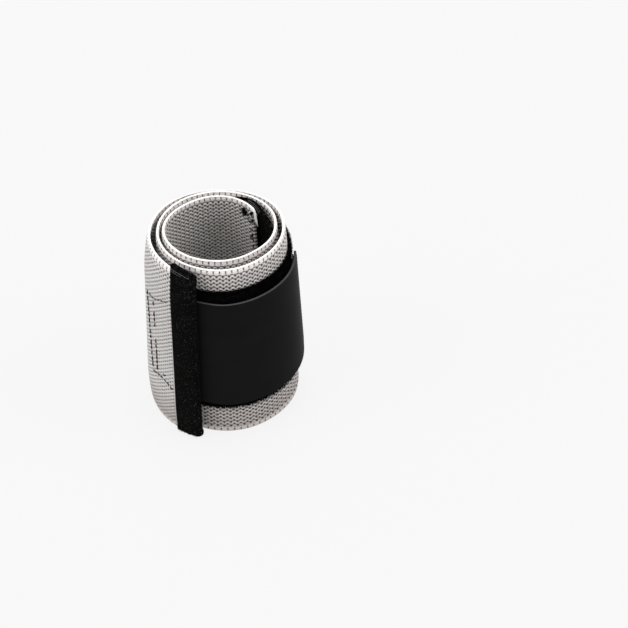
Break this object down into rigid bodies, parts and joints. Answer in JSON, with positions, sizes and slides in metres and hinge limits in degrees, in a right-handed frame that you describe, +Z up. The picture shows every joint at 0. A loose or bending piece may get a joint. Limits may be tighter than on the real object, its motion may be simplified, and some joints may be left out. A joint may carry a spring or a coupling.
{
  "type": "wrist wrap",
  "caption": "Elastic webbing wrist wrap, rolled up and standing on its edge, with a hook closure tab over a loop pad, a bound outer end and a thumb loop inside.",
  "frame": {"origin": "middle of the roll's plan box, on the surface that the roll stands on", "axes": "+Z up along the open hollow, -Y towards the side with the outer end and the closure tab, +X to its right"},
  "size_m": [0.0632, 0.0632, 0.0814],
  "materials": {
    "webbing": "woven elastic, off-white yarns over brown rubber",
    "loop_fleece": "brushed black fleece",
    "hook_tape": "moulded black hooks",
    "tab_skin": "smooth satin black skin",
    "binding_tape": "black woven tape",
    "loop_elastic": "black woven elastic"
  },
  "bodies": {
    "root": {"elastic_webbing": "webbing", "loop_pad": "loop_fleece", "hook_tape": "hook_tape", "closure_tab": "tab_skin", "end_binding": "binding_tape", "thumb_loop": "loop_elastic"}
  },
  "joints": []
}
